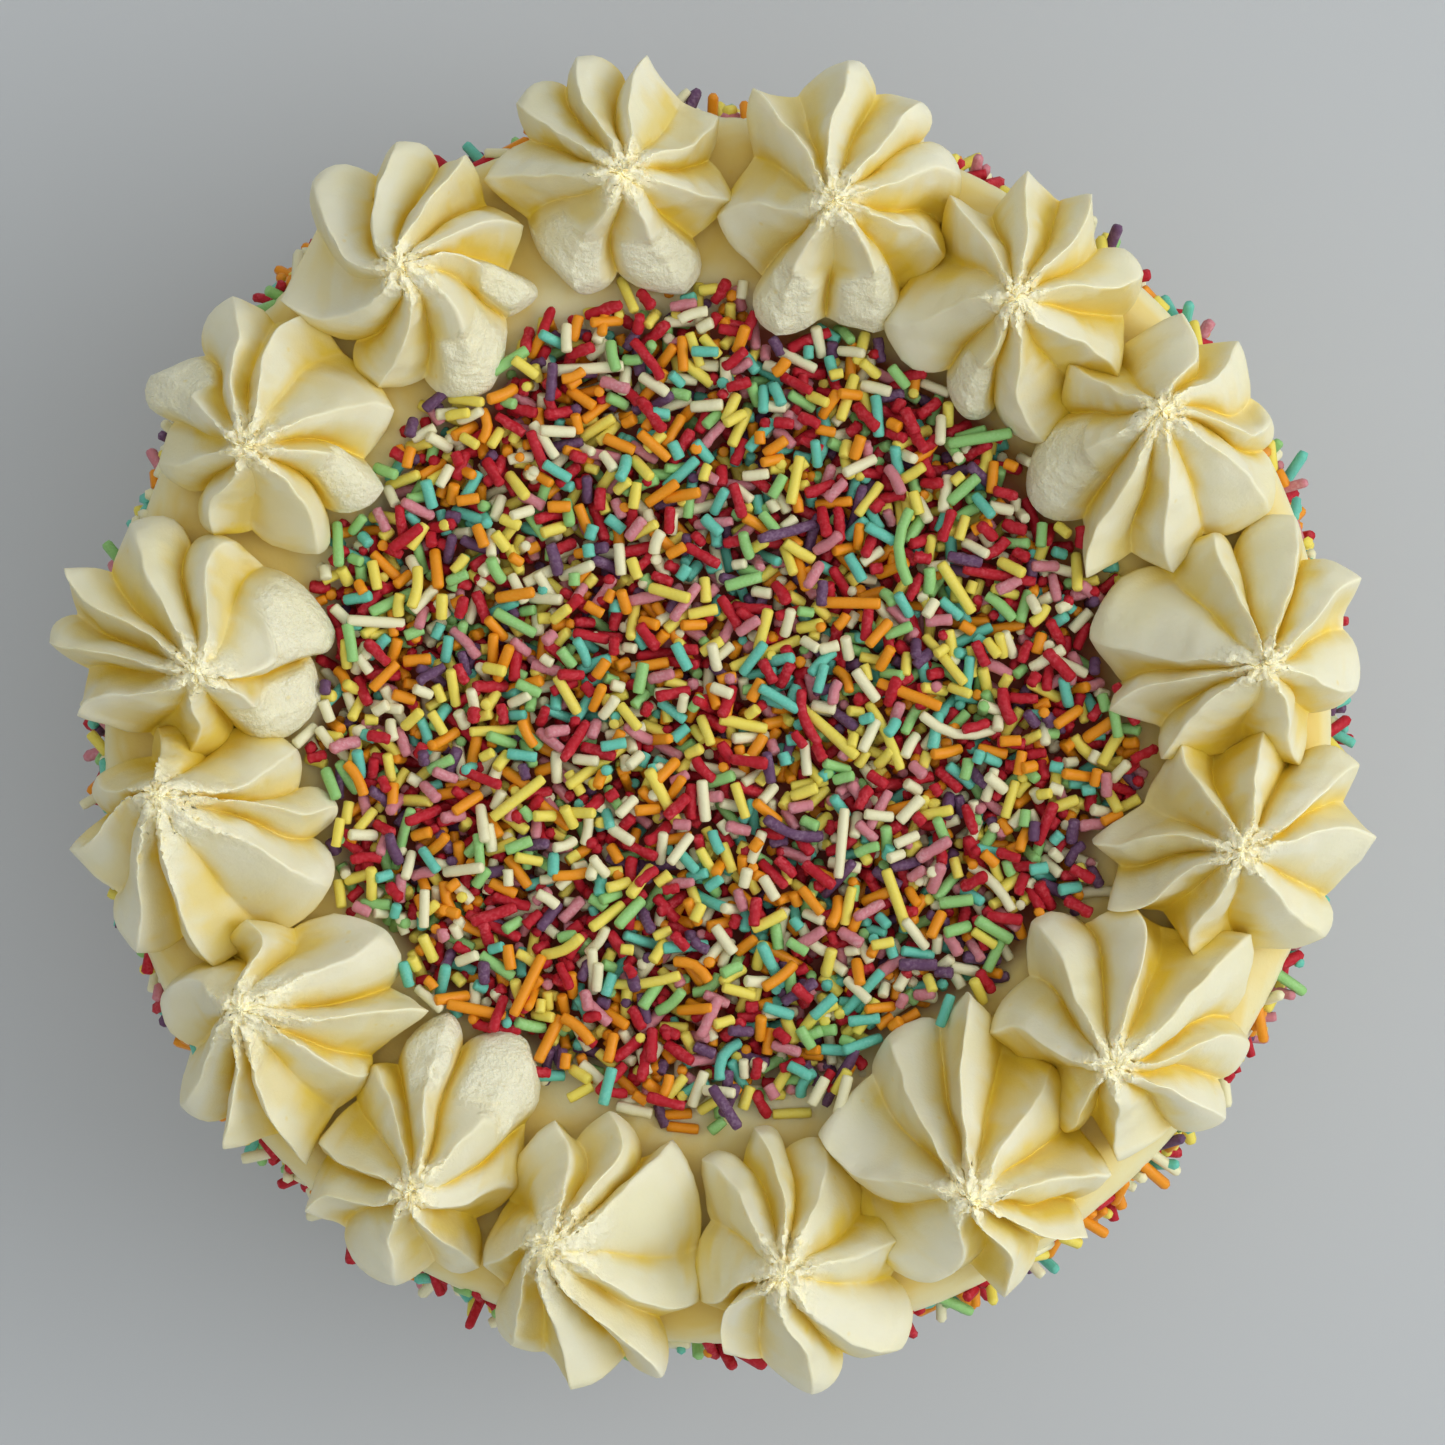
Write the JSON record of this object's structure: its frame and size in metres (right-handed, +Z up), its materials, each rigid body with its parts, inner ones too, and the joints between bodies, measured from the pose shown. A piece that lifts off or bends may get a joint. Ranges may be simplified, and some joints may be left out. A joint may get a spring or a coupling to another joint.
{
  "type": "celebration cake",
  "caption": "Tall round buttercream cake coated with sugar strands, with a bed of strands on top inside a ring of piped drop stars.",
  "frame": {"origin": "centre of the flat underside, on the surface that the cake stands on", "axes": "+Z up through the middle of the cake, -Y towards the bottom of the picture, +X towards its right"},
  "size_m": [0.1734, 0.1752, 0.1193],
  "materials": {
    "buttercream": "soft satin icing under sugar strands",
    "piped_buttercream": "soft satin piped icing"
  },
  "bodies": {
    "root": {"frosted_cake": "buttercream", "rosette_01": "piped_buttercream", "rosette_02": "piped_buttercream", "rosette_03": "piped_buttercream", "rosette_04": "piped_buttercream", "rosette_05": "piped_buttercream", "rosette_06": "piped_buttercream", "rosette_07": "piped_buttercream", "rosette_08": "piped_buttercream", "rosette_09": "piped_buttercream", "rosette_10": "piped_buttercream", "rosette_11": "piped_buttercream", "rosette_12": "piped_buttercream", "rosette_13": "piped_buttercream", "rosette_14": "piped_buttercream", "rosette_15": "piped_buttercream", "rosette_16": "piped_buttercream"}
  },
  "joints": []
}
